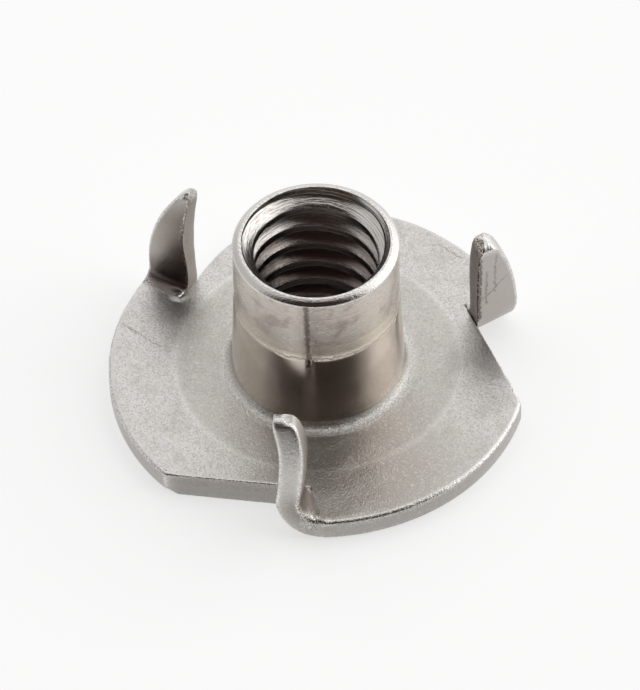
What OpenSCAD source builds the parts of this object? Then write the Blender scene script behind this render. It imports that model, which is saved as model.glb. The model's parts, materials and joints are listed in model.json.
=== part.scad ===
// Pronged tee nut: one stamped flange with a drawn, tapped barrel and prongs bent up out of its rim.
// The underside of the flange lies on Z = 0, the barrel stands along +Z, and the first prong is at -Y.

/* [Flange] */
// Diameter of the round flange
flange_d = 22.8; // [22:0.1:28]
// Thickness of the sheet that the nut is stamped from
sheet_t = 1.35; // [1:0.05:1.6]
// Distance from the axis to each straight cut that frees a prong
cut_distance = 8.9; // [8:0.05:9.4]
// Radius of the rounded edges of the rim
rim_round = 0.15; // [0.05:0.01:0.3]

/* [Prongs] */
// Number of prongs, evenly spaced round the flange
prong_count = 3; // [2:1:4]
// Height of the blunt prong tips above the top of the flange
prong_height = 6.5; // [5:0.1:7]
// Inside radius of the bend at the foot of each prong
bend_r = 0.6; // [0.3:0.05:1]
// Angle by which the bend turns each prong past upright, in degrees
overbend = 4.5; // [1:0.5:9]
// Height above the flange at which a prong starts to curl back
curl_start = 3.6; // [2.5:0.1:4.5]
// Radius of the curl, measured to the middle of the sheet
curl_r = 8; // [6:0.5:20]
// Offset of a prong's inner face from the middle of its cut, towards the rest of the flange
prong_offset = 0.4; // [-0.5:0.1:1.5]
// Height above the flange at which the curved outer edge of a prong starts to draw in
draw_in_start = 0.45; // [0:0.05:1.5]

/* [Barrel] */
// Height of the barrel above the top of the flange
barrel_h = 9.55; // [6:0.05:14]
// Outer diameter of the barrel at its rim
barrel_top_d = 8.84; // [8.7:0.02:9.2]
// Outer diameter of the barrel at its foot, without the fillet
barrel_foot_d = 9.5; // [9.3:0.02:10]
// Radius of the fillet between the barrel and the flange
foot_fillet_r = 0.55; // [0.2:0.05:1]
// Width of the bevel round the outside of the barrel's rim
bevel_w = 0.36; // [0.1:0.01:0.4]
// Height of the bevel round the outside of the barrel's rim
bevel_h = 0.28; // [0.1:0.01:0.5]

/* [Bore] */
// Diameter of the bore at the crests of its thread
bore_d = 6.6; // [5.8:0.05:7]
// Diameter of the countersink where it meets the barrel's rim
countersink_d = 7.88; // [7.4:0.02:8]
// Depth of the countersink
countersink_depth = 1.35; // [0.3:0.05:1.5]
// Radius of the rounded entry that drawing leaves under the flange
entry_r = 1.2; // [0.5:0.05:1.5]

/* [Hidden] */
$fn = 180;
// How far a cutting solid reaches past what it cuts
past = 1;
flange_r = flange_d / 2;
bore_r = bore_d / 2;
barrel_top_r = barrel_top_d / 2;
barrel_foot_r = barrel_foot_d / 2;
barrel_top_z = sheet_t + barrel_h;
prong_tip_z = sheet_t + prong_height;

// The barrel's wall leans in by this angle, and its foot fillet touches the wall and the flange
wall_lean = atan((barrel_foot_r - barrel_top_r) / barrel_h);
fillet_x = barrel_foot_r + foot_fillet_r * (1 - sin(wall_lean)) / cos(wall_lean);
fillet_z = sheet_t + foot_fillet_r;

// A prong folds about a line across its segment, and its bend is centred over that line
fold_x = prong_offset + bend_r;
bend_z = sheet_t + bend_r;
bend_mid_r = bend_r + sheet_t / 2;
prong_reach = sqrt(flange_r * flange_r - fold_x * fold_x);

// The straight run goes from the end of the bend up to the curl, leaning by the overbend
run_length = (curl_start - bend_r - bend_mid_r * sin(overbend)) / cos(overbend);
curl_end = 60;

// What rounding a square corner at the origin takes away, for a corner that points to +X and +Y
module corner_waste(r) {
    difference() {
        translate([-r, -r]) square(r + past);
        translate([-r, -r]) circle(r = r);
        translate([-r - past, -r - past]) square([past, 2 * r + 3 * past]);
        translate([-r - past, -r - past]) square([2 * r + 3 * past, past]);
    }
}

// Part of a ring as wide as the sheet is thick, from angle a0 to a1, with its inner edge at r
module ring_part(r, a0, a1) {
    far = 2 * (r + sheet_t);
    middle = (a0 + a1) / 2;
    intersection() {
        difference() {
            circle(r = r + sheet_t);
            circle(r = r);
        }
        polygon([[0, 0], far * [cos(a0), sin(a0)], far * [cos(middle), sin(middle)], far * [cos(a1), sin(a1)]]);
    }
}

// Half section of the flange and barrel, with X outwards from the axis
module body_section() {
    difference() {
        polygon([
            [bore_r, 0],
            [flange_r, 0],
            [flange_r, sheet_t],
            [barrel_foot_r, sheet_t],
            [barrel_top_r, barrel_top_z - bevel_h],
            [barrel_top_r - bevel_w, barrel_top_z],
            [countersink_d / 2, barrel_top_z],
            [bore_r, barrel_top_z - countersink_depth]
        ]);
        translate([flange_r, sheet_t]) corner_waste(rim_round);
        translate([flange_r, 0]) mirror([0, 1]) corner_waste(rim_round);
        translate([bore_r, 0]) rotate(180) corner_waste(entry_r);
    }
    difference() {
        polygon([
            [barrel_foot_r, sheet_t],
            [fillet_x, sheet_t],
            [fillet_x, fillet_z],
            [fillet_x - foot_fillet_r * cos(wall_lean), fillet_z - foot_fillet_r * sin(wall_lean)]
        ]);
        translate([fillet_x, fillet_z]) circle(r = foot_fillet_r);
    }
}

// Side profile of a prong, with X along its cut and Y upwards: bend, straight run and curl
module prong_profile() {
    intersection() {
        translate([fold_x, bend_z]) rotate(-overbend) {
            ring_part(bend_r, 180, 280);
            translate([-bend_r - sheet_t, 0]) square([sheet_t, run_length]);
            translate([-bend_mid_r - curl_r, run_length]) ring_part(curl_r - sheet_t / 2, 0, curl_end);
        }
        translate([fold_x - 2 * flange_r, 0]) square([2 * flange_r, barrel_top_z + flange_r]);
    }
}

// Outline of a prong seen along its cut, with X outwards: straight cut inside, the rim's arc outside
module prong_outline() {
    draw_in_z = sheet_t + draw_in_start;
    intersection() {
        union() {
            translate([0, draw_in_z]) circle(r = prong_reach);
            square([prong_reach, draw_in_z]);
        }
        translate([cut_distance, 0]) square([flange_r, prong_tip_z]);
    }
}

// One prong, bent up at the -Y side of the flange
module prong() {
    intersection() {
        translate([0, -cut_distance, 0]) rotate([90, 0, 0])
            linear_extrude(flange_r - cut_distance + past) prong_profile();
        translate([fold_x + past, 0, 0]) rotate([90, 0, -90])
            linear_extrude(2 * curl_r) prong_outline();
    }
}

// The segment of the flange that a prong is made from, between its cut, its fold line and the rim
module prong_gap() {
    translate([-flange_r, -flange_r - past, -past])
        cube([flange_r + fold_x, flange_r + past - cut_distance, sheet_t + 2 * past]);
}

module tee_nut() {
    color([0.72, 0.7, 0.67]) {
        difference() {
            rotate_extrude() body_section();
            for (i = [0 : prong_count - 1]) rotate(i * 360 / prong_count) prong_gap();
        }
        for (i = [0 : prong_count - 1]) rotate(i * 360 / prong_count) prong();
    }
}

tee_nut();
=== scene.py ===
"""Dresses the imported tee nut: one stamped and drawn steel piece with a tapped barrel and three prongs.

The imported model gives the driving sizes. Lengths here are in millimetres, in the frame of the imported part,
and become metres when a mesh is made. The nut is one closed surface: a grid of columns round the axis
carries the barrel, its thread, the underside and the flange, and a tube of rings carries each prong.
"""

import json
import logging
from dataclasses import dataclass

import bpy
import numpy as np
from mathutils import Matrix, Vector


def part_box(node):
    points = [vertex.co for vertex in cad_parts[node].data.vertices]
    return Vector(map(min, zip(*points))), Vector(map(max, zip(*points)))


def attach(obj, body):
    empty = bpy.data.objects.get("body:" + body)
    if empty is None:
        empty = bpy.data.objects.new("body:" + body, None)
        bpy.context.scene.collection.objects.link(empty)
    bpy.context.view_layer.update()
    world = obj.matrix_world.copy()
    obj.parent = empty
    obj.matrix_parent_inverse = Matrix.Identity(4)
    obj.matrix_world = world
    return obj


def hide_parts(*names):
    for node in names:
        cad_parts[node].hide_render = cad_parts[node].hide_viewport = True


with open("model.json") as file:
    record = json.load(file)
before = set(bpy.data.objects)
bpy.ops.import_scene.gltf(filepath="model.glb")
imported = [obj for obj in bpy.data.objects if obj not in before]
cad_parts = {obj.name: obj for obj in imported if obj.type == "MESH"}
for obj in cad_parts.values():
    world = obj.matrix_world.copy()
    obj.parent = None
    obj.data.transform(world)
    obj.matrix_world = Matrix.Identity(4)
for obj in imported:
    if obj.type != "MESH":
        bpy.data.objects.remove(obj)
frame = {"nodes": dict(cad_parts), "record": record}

log = logging.getLogger("tee_nut")
MM = 0.001
TURN = 2 * np.pi
NODE = "tee_nut"
TAGS = ("wear", "stain", "drawn", "cut", "prong")

Colour = tuple[float, float, float, float]
Place = tuple[float, float, float]


def smoothstep(low: float, high: float, x: np.ndarray) -> np.ndarray:
    """A rise from 0 where x is low to 1 where it is high, with level ends: 3 t^2 - 2 t^3."""
    t = np.clip((np.asarray(x, float) - low) / (high - low), 0.0, 1.0)
    return t * t * (3 - 2 * t)


def sine(degrees: float) -> float:
    """The sine of an angle in degrees."""
    return float(np.sin(np.radians(degrees)))


def polar(radius: np.ndarray, angle: np.ndarray, z: np.ndarray) -> np.ndarray:
    """Points at a radius, an angle in radians and a height, with their coordinates on the last axis."""
    radius, angle, z = np.broadcast_arrays(radius, angle, z)
    return np.stack([radius * np.cos(angle), radius * np.sin(angle), z], axis=-1)


def waves(points: np.ndarray, length: float, seed: int, count: int = 28) -> np.ndarray:
    """A smooth random field: a sum of sine waves in random directions, with lengths near the given one.

    Args:
        points: Points, with three coordinates on the last axis.
        length: The typical distance from crest to crest.
        seed: The seed of the random directions, lengths and starts.
        count: How many waves are added.

    Returns:
        The field at each point, with a spread of about 1.
    """
    draw = np.random.default_rng(seed)
    ways = draw.normal(size=(count, 3))
    ways /= np.linalg.norm(ways, axis=1, keepdims=True)
    ways *= TURN / (length * draw.uniform(0.7, 1.6, size=(count, 1)))
    starts = draw.uniform(0, TURN, size=count)
    return np.sqrt(2 / count) * np.sin(points @ ways.T + starts).sum(axis=-1)


@dataclass(frozen=True)
class Swell:
    """Low waves in a surface.

    Attributes:
        height: Their usual height.
        length: Their usual length from crest to crest.
        seed: The seed of their directions, lengths and starts.
    """

    height: float
    length: float
    seed: int

    def at(self, points: np.ndarray) -> np.ndarray:
        """Height of the waves at each point."""
        return self.height * waves(points, self.length, self.seed)


@dataclass(frozen=True)
class Gauge:
    """The driving sizes, in millimetres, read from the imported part.

    Attributes:
        rim_r: Radius of the flange.
        sheet: Thickness of the sheet.
        mouth_z: Height of the barrel's mouth.
        crest_r: Radius of the bore at the crests of its thread.
        cut: Distance from the axis to each straight cut.
    """

    rim_r: float
    sheet: float
    mouth_z: float
    crest_r: float
    cut: float

    RIM_MARGIN = 0.02

    @classmethod
    def from_frame(cls) -> "Gauge":
        """Reads the sizes from the box, the mounts and the straight cut at -Y.

        Returns:
            The sizes.
        """
        low, high = (np.array(corner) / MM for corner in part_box(NODE))
        mounts = {mount["name"]: mount for mount in frame["record"]["mounts"]}
        sheet = mounts["wood_seat"]["pos_m"][2] / MM
        mesh = frame["nodes"][NODE].data
        points = np.empty(3 * len(mesh.vertices))
        mesh.vertices.foreach_get("co", points)
        points = points.reshape(-1, 3) / MM
        on_top = np.abs(points[:, 2] - sheet) < 0.01
        away_from_prong = points[:, 0] < -1
        return cls(
            rim_r=float(max(abs(low[:2]).max(), abs(high[:2]).max())) - cls.RIM_MARGIN,
            sheet=float(sheet),
            mouth_z=float(high[2]),
            crest_r=float(mounts["thread"]["dims"]["r_mm"]),
            cut=float(-points[on_top & away_from_prong, 1].min()),
        )

    @property
    def cut_reach(self) -> float:
        """The angle from the middle of a straight cut to where it meets the rim."""
        return float(np.arccos(self.cut / self.rim_r))


@dataclass(frozen=True)
class Thread:
    """The tapped thread: a 60 degree form with worn flat crests, right-hand.

    Attributes:
        pitch: Distance from crest to crest, for 18 threads an inch.
        depth: Depth of the form from the crests to the roots.
        crest_flat: Width of a crest, as a share of the pitch.
        root_flat: Width of a root, as a share of the pitch.
        start_z: Height of the middle of one crest at the angle 0.
        run_out: How much the roots close in for each millimetre towards the mouth.
    """

    pitch: float = 25.4 / 18
    depth: float = 0.67
    crest_flat: float = 0.30
    root_flat: float = 0.13
    start_z: float = 9.38
    run_out: float = 0.10

    def half_steps(self) -> np.ndarray:
        """Places of the rows over half a turn of the form, from the middle of a crest to that of a root."""
        crest, root = self.crest_flat / 2, 0.5 - self.root_flat / 2
        return np.array([0.0, 0.6 * crest, crest - 0.02, crest + 0.02, 0.68 * crest + 0.32 * root,
                         0.32 * crest + 0.68 * root, root - 0.025, root + 0.015])

    def turns(self, low: int, high: int) -> np.ndarray:
        """Places of all rows, in pitches down from the starting crest.

        Args:
            low: The first whole pitch.
            high: The last whole pitch.

        Returns:
            The places, rising.
        """
        half = self.half_steps()
        whole = np.concatenate([half, [0.5], 1 - half[:0:-1]])
        return (np.arange(low, high)[:, None] + whole).ravel()

    def radius(self, place: np.ndarray, crest_r: float) -> np.ndarray:
        """Radius of the form: flat crests and roots with straight flanks, softened where they meet.

        Args:
            place: Places in pitches, where whole numbers are the middles of crests.
            crest_r: Radius at the crests.

        Returns:
            The radius at each place.
        """
        off = np.abs(place - np.round(place))
        crest, root = self.crest_flat / 2, 0.5 - self.root_flat / 2
        climb = np.clip((off - crest) / (root - crest), 0, 1)
        return crest_r + self.depth * (0.8 * climb + 0.2 * smoothstep(0, 1, climb))


@dataclass(frozen=True)
class Barrel:
    """The drawn barrel: its wall, foot, rim, countersink and rounded entry.

    Attributes:
        top_r: Outer radius above the shoulder.
        shoulder_z: Height of the low shoulder that drawing left round the wall.
        shoulder_w: How far the wall steps out there.
        shoulder_half: Half of the height over which it steps out.
        lean: How much the wall widens for each millimetre below the shoulder.
        foot_fillet: Radius of the fillet at the foot.
        bevel_w: Width of the bevel round the outside of the rim.
        bevel_h: Height of that bevel.
        bevel_round: Radius of the arc between the wall and the bevel.
        bevel_bulge: How far the bevel bulges.
        crown_round: Radius of the arc between the bevel and the flat rim.
        lip_round: Radius of the arc between the flat rim and the countersink.
        land_r: Inner radius of the flat rim.
        cone_slope: How much the countersink narrows for each millimetre down.
        entry_r: Radius of the rounded entry under the flange.
        ring_r: Radius of the faint ring that drawing left on the flange.
    """

    top_r: float = 4.43
    shoulder_z: float = 6.6
    shoulder_w: float = 0.05
    shoulder_half: float = 0.16
    lean: float = 0.044
    foot_fillet: float = 0.5
    bevel_w: float = 0.36
    bevel_h: float = 0.28
    bevel_round: float = 0.10
    bevel_bulge: float = 0.02
    crown_round: float = 0.05
    lip_round: float = 0.04
    land_r: float = 3.94
    cone_slope: float = 0.8
    entry_r: float = 1.2
    ring_r: float = 7.7

    WALL_ROWS = 56
    APRON = np.array([0.4, 0.25, 0.12])

    def wall_radius(self, z: np.ndarray) -> np.ndarray:
        """Outer radius of the wall: upright at the top, then a soft step out and a straight cone below it.

        Args:
            z: Heights.

        Returns:
            The radius at each height.
        """
        below = self.shoulder_z - z
        step = self.shoulder_w * smoothstep(-self.shoulder_half, self.shoulder_half, below)
        return self.top_r + step + self.lean * np.maximum(below, 0)

    def outside(self, gauge: Gauge) -> np.ndarray:
        """Half section from the flange up the wall to the flat rim.

        The fillet is a quarter circle, and the bevel is bulged a little between two small arcs.

        Args:
            gauge: The driving sizes.

        Returns:
            Rows of radius and height.
        """
        turn = np.radians(np.linspace(0, 86, 8))
        fillet_z = gauge.sheet + self.foot_fillet * (1 - np.cos(turn))
        foot_x = self.wall_radius(gauge.sheet + self.foot_fillet) + self.foot_fillet
        fillet_r = foot_x - self.foot_fillet * np.sin(turn)
        apron_r = foot_x + self.APRON
        bevel_foot = gauge.mouth_z - self.bevel_h
        wall_z = np.linspace(fillet_z[-1] + 0.1, bevel_foot - 0.15, self.WALL_ROWS)
        wall_z = np.append(wall_z, bevel_foot - 0.03)
        slope = np.arctan2(self.bevel_w, self.bevel_h)
        low = np.linspace(0, slope, 6)
        low_r = self.top_r - self.bevel_round * (1 - np.cos(low))
        low_z = bevel_foot + self.bevel_round * np.sin(low)
        high = np.linspace(slope, np.pi / 2, 4)
        high_r = self.top_r - self.bevel_w + self.crown_round * np.cos(high)
        high_z = gauge.mouth_z - self.crown_round * (1 - np.sin(high))
        share = np.linspace(0, 1, 8)[1:-1]
        bulge = self.bevel_bulge * np.sin(np.pi * share)
        bevel_r = low_r[-1] + (high_r[0] - low_r[-1]) * share + bulge * np.cos(slope)
        bevel_z = low_z[-1] + (high_z[0] - low_z[-1]) * share + bulge * np.sin(slope)
        lip = np.radians(np.linspace(30, 90, 3))
        lip_r = self.land_r + self.lip_round - self.lip_round * np.sin(lip)
        lip_z = gauge.mouth_z - self.lip_round * (1 - np.cos(lip))
        land_r = np.linspace(high_r[-1], self.land_r + self.lip_round, 4)[1:]
        radius = np.concatenate([apron_r, fillet_r, self.wall_radius(wall_z), low_r, bevel_r, high_r,
                                 land_r, lip_r])
        height = np.concatenate([np.full(len(apron_r), gauge.sheet), fillet_z, wall_z, low_z, bevel_z, high_z,
                                 np.full(len(land_r), gauge.mouth_z), lip_z])
        return np.stack([radius, height], axis=1)

    def cone_radius(self, z: np.ndarray, gauge: Gauge) -> np.ndarray:
        """Radius of the countersink at each height: a straight cone."""
        return self.land_r - self.cone_slope * (gauge.mouth_z - self.lip_round - z)

    def entry_radius(self, z: np.ndarray, gauge: Gauge) -> np.ndarray:
        """Radius of the rounded entry at each height: a quarter circle that ends on the underside."""
        drop = np.clip(self.entry_r - z, 0, self.entry_r)
        return gauge.crest_r + self.entry_r - np.sqrt(self.entry_r ** 2 - drop ** 2)


@dataclass(frozen=True)
class EdgeForm:
    """The rounded edge that blanking leaves: an inset from the outline and a drop from each face.

    Attributes:
        inset: How far in from the outline the rounding starts.
        drop: How far down from the face it ends.
    """

    inset: float
    drop: float

    def rows(self) -> tuple[np.ndarray, np.ndarray]:
        """The edge's rows for one column and a height of 1: how far in they lie, and how high."""
        inward, height = edge_rows(np.array([self.inset]), np.array([self.drop]), np.ones(1))
        return inward[:, 0], height[:, 0]


RIM_EDGE = EdgeForm(inset=0.26, drop=0.22)
CUT_EDGE = EdgeForm(inset=0.10, drop=0.08)
ROUND_STEPS = np.radians([18.0, 36.0, 54.0, 72.0, 90.0])
WALL_SHARES = np.array([0.25, 0.5, 0.75])
EDGE_WEAR = np.array([0.6, 1.0, 1.0, 0.7, 0.2, 0.0, 0.0, 0.0, 0.2, 0.7, 1.0, 1.0, 0.6])
EDGE_CUT = np.array([0.1, 0.4, 0.8, 1.0, 1.0, 1.0, 1.0, 1.0, 1.0, 1.0, 0.8, 0.4, 0.1])


def edge_rows(inset: np.ndarray, drop: np.ndarray, thickness: np.ndarray) -> tuple[np.ndarray, np.ndarray]:
    """The rows of an edge from the lower face to the upper one: quarter ellipse, wall, quarter ellipse.

    Args:
        inset: Inset of each column.
        drop: Drop of each column.
        thickness: Thickness of the sheet at each column.

    Returns:
        The distance in from the outline and the height above the lower face, one row for each step.
    """
    low_in = inset * (1 - np.sin(ROUND_STEPS))[:, None]
    low_z = drop * (1 - np.cos(ROUND_STEPS))[:, None]
    wall_z = low_z[-1] + WALL_SHARES[:, None] * (thickness - 2 * low_z[-1])
    return (np.concatenate([low_in, np.zeros_like(wall_z), low_in[::-1]]),
            np.concatenate([low_z, wall_z, thickness - low_z[::-1]]))


def crowd(low: float, high: float, count: int) -> np.ndarray:
    """As many places as asked for, from low to high, which lie closer together at both ends."""
    s = np.linspace(0, 1, count)
    return low + (high - low) * (s - 0.6 * np.sin(TURN * s) / TURN)


@dataclass
class Surface:
    """A surface as points, four-cornered faces and tags that the material reads.

    Attributes:
        points: The points, three coordinates each.
        faces: Four point numbers a face; a triangle repeats its first number at the end.
        tags: One number a point for each tag's name.
        blank: Where each point lay in the flat blank, which a pattern follows round the bends.
    """

    points: np.ndarray
    faces: np.ndarray
    tags: dict[str, np.ndarray]
    blank: np.ndarray

    # Cells are shifted by this part of one, so that round coordinates don't lie between two of them
    CELL_SHIFT = 0.137

    def joined(self, other: "Surface") -> "Surface":
        """This surface and another as one."""
        return Surface(
            np.concatenate([self.points, other.points]),
            np.concatenate([self.faces, other.faces + len(self.points)]),
            {name: np.concatenate([tag, other.tags[name]]) for name, tag in self.tags.items()},
            np.concatenate([self.blank, other.blank]),
        )

    def welded(self, reach: float = 1e-4) -> "Surface":
        """The surface with points in one place made one, and faces that lose their area dropped.

        Args:
            reach: The size of the cells in which points count as one.

        Returns:
            The welded surface.
        """
        cells = np.round(self.points / reach + self.CELL_SHIFT).astype(np.int64)
        _, first, number = np.unique(cells, axis=0, return_index=True, return_inverse=True)
        faces = number.reshape(-1)[self.faces]
        same = faces == np.roll(faces, -1, axis=1)
        lost = same.sum(axis=1)
        quads = faces[lost == 0]
        quads = quads[(quads[:, 0] != quads[:, 2]) & (quads[:, 1] != quads[:, 3])]
        pinched, where = faces[lost == 1], same[lost == 1].argmax(axis=1)
        corners = (where[:, None] + np.array([1, 2, 3])) % 4
        triangles = np.take_along_axis(pinched, corners, axis=1)
        triangles = triangles[triangles[:, 0] != triangles[:, 2]]
        faces = np.concatenate([quads, np.column_stack([triangles, triangles[:, 0]])])
        used, compact = np.unique(faces, return_inverse=True)
        keep = first[used]
        return Surface(self.points[keep], compact.reshape(-1, 4),
                       {name: tag[keep] for name, tag in self.tags.items()}, self.blank[keep])

    def normals(self) -> np.ndarray:
        """Outward directions at the points: the sum of the crossed diagonals of the faces round each.

        Returns:
            One unit vector a point.
        """
        corners = self.points[self.faces]
        crossed = np.cross(corners[:, 2] - corners[:, 0], corners[:, 3] - corners[:, 1])
        three = self.faces[:, 0] == self.faces[:, 3]
        flat = corners[three]
        crossed[three] = np.cross(flat[:, 1] - flat[:, 0], flat[:, 2] - flat[:, 0])
        total = np.zeros_like(self.points)
        for corner in range(4):
            weight = np.where(three & (corner == 3), 0.0, 1.0)[:, None]
            np.add.at(total, self.faces[:, corner], crossed * weight)
        return total / np.maximum(np.linalg.norm(total, axis=1, keepdims=True), 1e-12)

    def to_object(self, name: str) -> bpy.types.Object:
        """Makes a smooth shaded mesh object of the surface, in metres, with its tags as attributes.

        Args:
            name: Name of the object and its mesh.

        Returns:
            The new object, linked to the scene.
        """
        three = self.faces[:, 0] == self.faces[:, 3]
        sizes = np.where(three, 3, 4).astype(np.int32)
        keep = np.ones(self.faces.shape, bool)
        keep[three, 3] = False
        loops = self.faces[keep].astype(np.int32)
        mesh = bpy.data.meshes.new(name)
        mesh.vertices.add(len(self.points))
        mesh.vertices.foreach_set("co", (self.points * MM).ravel())
        mesh.loops.add(len(loops))
        mesh.loops.foreach_set("vertex_index", loops)
        mesh.polygons.add(len(sizes))
        mesh.polygons.foreach_set("loop_start", np.concatenate([[0], np.cumsum(sizes)[:-1]]).astype(np.int32))
        mesh.polygons.foreach_set("use_smooth", np.ones(len(sizes), bool))
        mesh.update(calc_edges=True)
        for tag, values in self.tags.items():
            mesh.attributes.new(tag, "FLOAT", "POINT").data.foreach_set("value", values.astype(np.float32))
        flat = mesh.attributes.new("blank", "FLOAT_VECTOR", "POINT")
        flat.data.foreach_set("vector", self.blank.astype(np.float32).ravel())
        mesh.validate()
        made = bpy.data.objects.new(name, mesh)
        bpy.context.scene.collection.objects.link(made)
        return made


@dataclass(frozen=True)
class RingForm:
    """A ring of a prong: up the cut wall, out along the inner face, down the arc wall and back outside.

    Attributes:
        share: Place between the cut, at 0, and the arc, at 1.
        level: Place between the outer face, at 0, and the inner one, at 1.
        from_cut: Inset from the cut.
        from_rim: Inset from the arc.
        wear: How worn it is.
        cut: How plainly it shows that it was sheared.
        cut_wall: 1 on the cut wall.
        arc_wall: 1 on the arc wall.
    """

    share: np.ndarray
    level: np.ndarray
    from_cut: np.ndarray
    from_rim: np.ndarray
    wear: np.ndarray
    cut: np.ndarray
    cut_wall: np.ndarray
    arc_wall: np.ndarray

    @classmethod
    def with_steps(cls, steps: int) -> "RingForm":
        """Lays out the ring.

        Args:
            steps: How many points cross each face.

        Returns:
            The ring.
        """
        cut_in, cut_z = CUT_EDGE.rows()
        rim_in, rim_z = RIM_EDGE.rows()
        out = np.arange(1, steps + 1) / steps
        counts = (1, len(cut_in), 1, steps, len(rim_in), steps)

        def ring(*parts: np.ndarray | float) -> np.ndarray:
            """Joins the ring's six parts, each an array or one value for all of it."""
            return np.concatenate([np.broadcast_to(part, count) for part, count in zip(parts, counts)])

        return cls(
            share=ring(0, 0, 0, out, 1, out[::-1]),
            level=ring(0, cut_z, 1, 1, rim_z[::-1], 0),
            from_cut=ring(CUT_EDGE.inset, cut_in, CUT_EDGE.inset, CUT_EDGE.inset, 0, CUT_EDGE.inset),
            from_rim=ring(0, 0, 0, RIM_EDGE.inset, rim_in, RIM_EDGE.inset),
            wear=ring(0.2, EDGE_WEAR, 0.2, 0, EDGE_WEAR, 0),
            cut=ring(0.05, EDGE_CUT, 0.05, 0, 0.2 * EDGE_CUT, 0),
            cut_wall=ring(0, EDGE_CUT, 0, 0, 0, 0),
            arc_wall=ring(0, 0, 0, 0, EDGE_CUT, 0),
        )


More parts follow.
